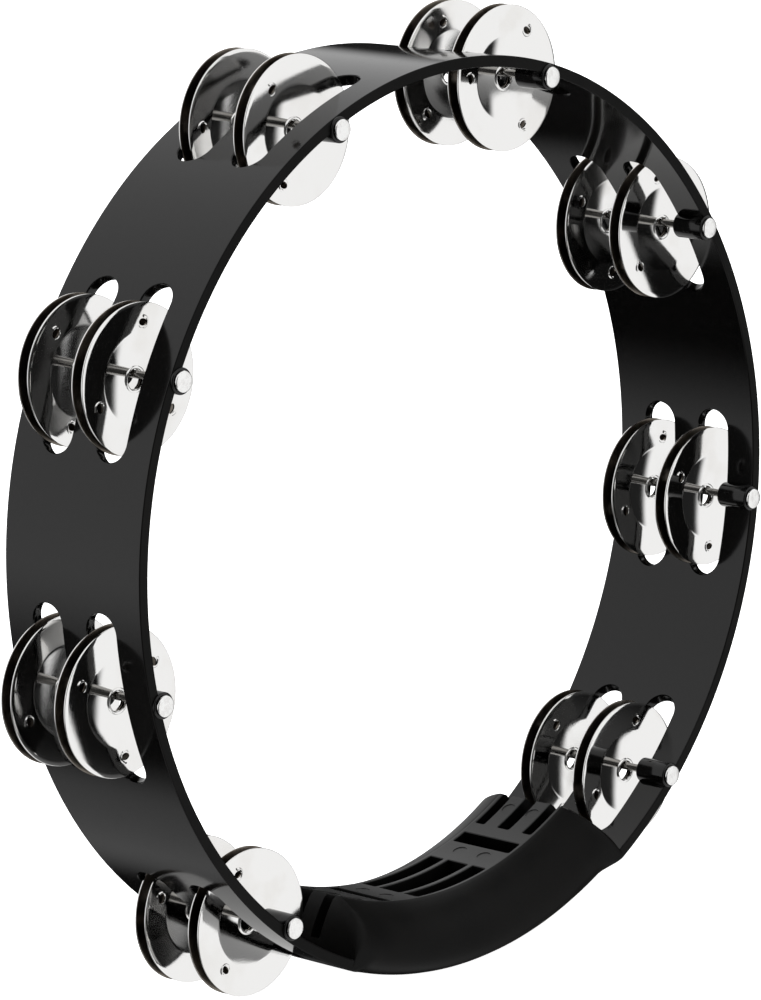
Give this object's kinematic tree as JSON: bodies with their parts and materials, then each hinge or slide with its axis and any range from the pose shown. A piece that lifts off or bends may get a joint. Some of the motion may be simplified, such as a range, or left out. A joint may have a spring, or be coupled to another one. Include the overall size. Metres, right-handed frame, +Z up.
{
  "type": "tambourine",
  "caption": "Ring-shaped hand tambourine with a moulded black frame, a rounded grip, cross pins and double-row pairs of dished steel jingles.",
  "frame": {"origin": "middle of the grip's palm face, which is the lowest point of the ring as it is held", "axes": "+Z up from the grip to the ring's centre, -Y towards the front rim, where the pin heads are, +X to the right seen from the front"},
  "size_m": [0.2832, 0.0515, 0.2617],
  "materials": {
    "frame_plastic": "polished black ABS moulding, satin on the grip's cored inner face",
    "pin_steel": "bright plated steel pin with a flat round head",
    "jingle_steel": "mirror-polished stamped steel sheet with a bright cut edge"
  },
  "bodies": {
    "ring": {"frame": "frame_plastic", "pin_1": "pin_steel", "pin_2": "pin_steel", "pin_3": "pin_steel", "pin_4": "pin_steel", "pin_5": "pin_steel", "pin_6": "pin_steel", "pin_7": "pin_steel", "pin_8": "pin_steel"},
    "jingle_1_front_a": {"jingle_1_front_a": "jingle_steel"},
    "jingle_1_front_b": {"jingle_1_front_b": "jingle_steel"},
    "jingle_1_back_a": {"jingle_1_back_a": "jingle_steel"},
    "jingle_1_back_b": {"jingle_1_back_b": "jingle_steel"},
    "jingle_2_front_a": {"jingle_2_front_a": "jingle_steel"},
    "jingle_2_front_b": {"jingle_2_front_b": "jingle_steel"},
    "jingle_2_back_a": {"jingle_2_back_a": "jingle_steel"},
    "jingle_2_back_b": {"jingle_2_back_b": "jingle_steel"},
    "jingle_3_front_a": {"jingle_3_front_a": "jingle_steel"},
    "jingle_3_front_b": {"jingle_3_front_b": "jingle_steel"},
    "jingle_3_back_a": {"jingle_3_back_a": "jingle_steel"},
    "jingle_3_back_b": {"jingle_3_back_b": "jingle_steel"},
    "jingle_4_front_a": {"jingle_4_front_a": "jingle_steel"},
    "jingle_4_front_b": {"jingle_4_front_b": "jingle_steel"},
    "jingle_4_back_a": {"jingle_4_back_a": "jingle_steel"},
    "jingle_4_back_b": {"jingle_4_back_b": "jingle_steel"},
    "jingle_5_front_a": {"jingle_5_front_a": "jingle_steel"},
    "jingle_5_front_b": {"jingle_5_front_b": "jingle_steel"},
    "jingle_5_back_a": {"jingle_5_back_a": "jingle_steel"},
    "jingle_5_back_b": {"jingle_5_back_b": "jingle_steel"},
    "jingle_6_front_a": {"jingle_6_front_a": "jingle_steel"},
    "jingle_6_front_b": {"jingle_6_front_b": "jingle_steel"},
    "jingle_6_back_a": {"jingle_6_back_a": "jingle_steel"},
    "jingle_6_back_b": {"jingle_6_back_b": "jingle_steel"},
    "jingle_7_front_a": {"jingle_7_front_a": "jingle_steel"},
    "jingle_7_front_b": {"jingle_7_front_b": "jingle_steel"},
    "jingle_7_back_a": {"jingle_7_back_a": "jingle_steel"},
    "jingle_7_back_b": {"jingle_7_back_b": "jingle_steel"},
    "jingle_8_front_a": {"jingle_8_front_a": "jingle_steel"},
    "jingle_8_front_b": {"jingle_8_front_b": "jingle_steel"},
    "jingle_8_back_a": {"jingle_8_back_a": "jingle_steel"},
    "jingle_8_back_b": {"jingle_8_back_b": "jingle_steel"}
  },
  "joints": [
    {"name": "slide_1_front", "type": "slide", "parent": "ring", "child": "jingle_1_front_a", "axis": [0, -1, 0], "range_m": [-0.0002, 0.0048]},
    {"name": "spin_1_front", "type": "hinge", "parent": "ring", "child": "jingle_1_front_b", "pos_m": [0.07919, -0.0076, 0.03122], "axis": [0, 1, 0], "continuous": true},
    {"name": "slide_1_back", "type": "slide", "parent": "ring", "child": "jingle_1_back_a", "axis": [0, -1, 0], "range_m": [-0.0002, 0.0048]},
    {"name": "spin_1_back", "type": "hinge", "parent": "ring", "child": "jingle_1_back_b", "pos_m": [0.07919, 0.0124, 0.03122], "axis": [0, 1, 0], "continuous": true},
    {"name": "slide_2_front", "type": "slide", "parent": "ring", "child": "jingle_2_front_a", "axis": [0, -1, 0], "range_m": [-0.0002, 0.0048]},
    {"name": "spin_2_front", "type": "hinge", "parent": "ring", "child": "jingle_2_front_b", "pos_m": [0.12133, -0.0076, 0.10421], "axis": [0, 1, 0], "continuous": true},
    {"name": "slide_2_back", "type": "slide", "parent": "ring", "child": "jingle_2_back_a", "axis": [0, -1, 0], "range_m": [-0.0002, 0.0048]},
    {"name": "spin_2_back", "type": "hinge", "parent": "ring", "child": "jingle_2_back_b", "pos_m": [0.12133, 0.0124, 0.10421], "axis": [0, 1, 0], "continuous": true},
    {"name": "slide_3_front", "type": "slide", "parent": "ring", "child": "jingle_3_front_a", "axis": [0, -1, 0], "range_m": [-0.0002, 0.0048]},
    {"name": "spin_3_front", "type": "hinge", "parent": "ring", "child": "jingle_3_front_b", "pos_m": [0.10669, -0.0076, 0.1872], "axis": [0, 1, 0], "continuous": true},
    {"name": "slide_3_back", "type": "slide", "parent": "ring", "child": "jingle_3_back_a", "axis": [0, -1, 0], "range_m": [-0.0002, 0.0048]},
    {"name": "spin_3_back", "type": "hinge", "parent": "ring", "child": "jingle_3_back_b", "pos_m": [0.10669, 0.0124, 0.1872], "axis": [0, 1, 0], "continuous": true},
    {"name": "slide_4_front", "type": "slide", "parent": "ring", "child": "jingle_4_front_a", "axis": [0, -1, 0], "range_m": [-0.0002, 0.0048]},
    {"name": "spin_4_front", "type": "hinge", "parent": "ring", "child": "jingle_4_front_b", "pos_m": [0.04214, -0.0076, 0.24137], "axis": [0, 1, 0], "continuous": true},
    {"name": "slide_4_back", "type": "slide", "parent": "ring", "child": "jingle_4_back_a", "axis": [0, -1, 0], "range_m": [-0.0002, 0.0048]},
    {"name": "spin_4_back", "type": "hinge", "parent": "ring", "child": "jingle_4_back_b", "pos_m": [0.04214, 0.0124, 0.24137], "axis": [0, 1, 0], "continuous": true},
    {"name": "slide_5_front", "type": "slide", "parent": "ring", "child": "jingle_5_front_a", "axis": [0, -1, 0], "range_m": [-0.0002, 0.0048]},
    {"name": "spin_5_front", "type": "hinge", "parent": "ring", "child": "jingle_5_front_b", "pos_m": [-0.04214, -0.0076, 0.24137], "axis": [0, 1, 0], "continuous": true},
    {"name": "slide_5_back", "type": "slide", "parent": "ring", "child": "jingle_5_back_a", "axis": [0, -1, 0], "range_m": [-0.0002, 0.0048]},
    {"name": "spin_5_back", "type": "hinge", "parent": "ring", "child": "jingle_5_back_b", "pos_m": [-0.04214, 0.0124, 0.24137], "axis": [0, 1, 0], "continuous": true},
    {"name": "slide_6_front", "type": "slide", "parent": "ring", "child": "jingle_6_front_a", "axis": [0, -1, 0], "range_m": [-0.0002, 0.0048]},
    {"name": "spin_6_front", "type": "hinge", "parent": "ring", "child": "jingle_6_front_b", "pos_m": [-0.10669, -0.0076, 0.1872], "axis": [0, 1, 0], "continuous": true},
    {"name": "slide_6_back", "type": "slide", "parent": "ring", "child": "jingle_6_back_a", "axis": [0, -1, 0], "range_m": [-0.0002, 0.0048]},
    {"name": "spin_6_back", "type": "hinge", "parent": "ring", "child": "jingle_6_back_b", "pos_m": [-0.10669, 0.0124, 0.1872], "axis": [0, 1, 0], "continuous": true},
    {"name": "slide_7_front", "type": "slide", "parent": "ring", "child": "jingle_7_front_a", "axis": [0, -1, 0], "range_m": [-0.0002, 0.0048]},
    {"name": "spin_7_front", "type": "hinge", "parent": "ring", "child": "jingle_7_front_b", "pos_m": [-0.12133, -0.0076, 0.10421], "axis": [0, 1, 0], "continuous": true},
    {"name": "slide_7_back", "type": "slide", "parent": "ring", "child": "jingle_7_back_a", "axis": [0, -1, 0], "range_m": [-0.0002, 0.0048]},
    {"name": "spin_7_back", "type": "hinge", "parent": "ring", "child": "jingle_7_back_b", "pos_m": [-0.12133, 0.0124, 0.10421], "axis": [0, 1, 0], "continuous": true},
    {"name": "slide_8_front", "type": "slide", "parent": "ring", "child": "jingle_8_front_a", "axis": [0, -1, 0], "range_m": [-0.0002, 0.0048]},
    {"name": "spin_8_front", "type": "hinge", "parent": "ring", "child": "jingle_8_front_b", "pos_m": [-0.07919, -0.0076, 0.03122], "axis": [0, 1, 0], "continuous": true},
    {"name": "slide_8_back", "type": "slide", "parent": "ring", "child": "jingle_8_back_a", "axis": [0, -1, 0], "range_m": [-0.0002, 0.0048]},
    {"name": "spin_8_back", "type": "hinge", "parent": "ring", "child": "jingle_8_back_b", "pos_m": [-0.07919, 0.0124, 0.03122], "axis": [0, 1, 0], "continuous": true}
  ]
}
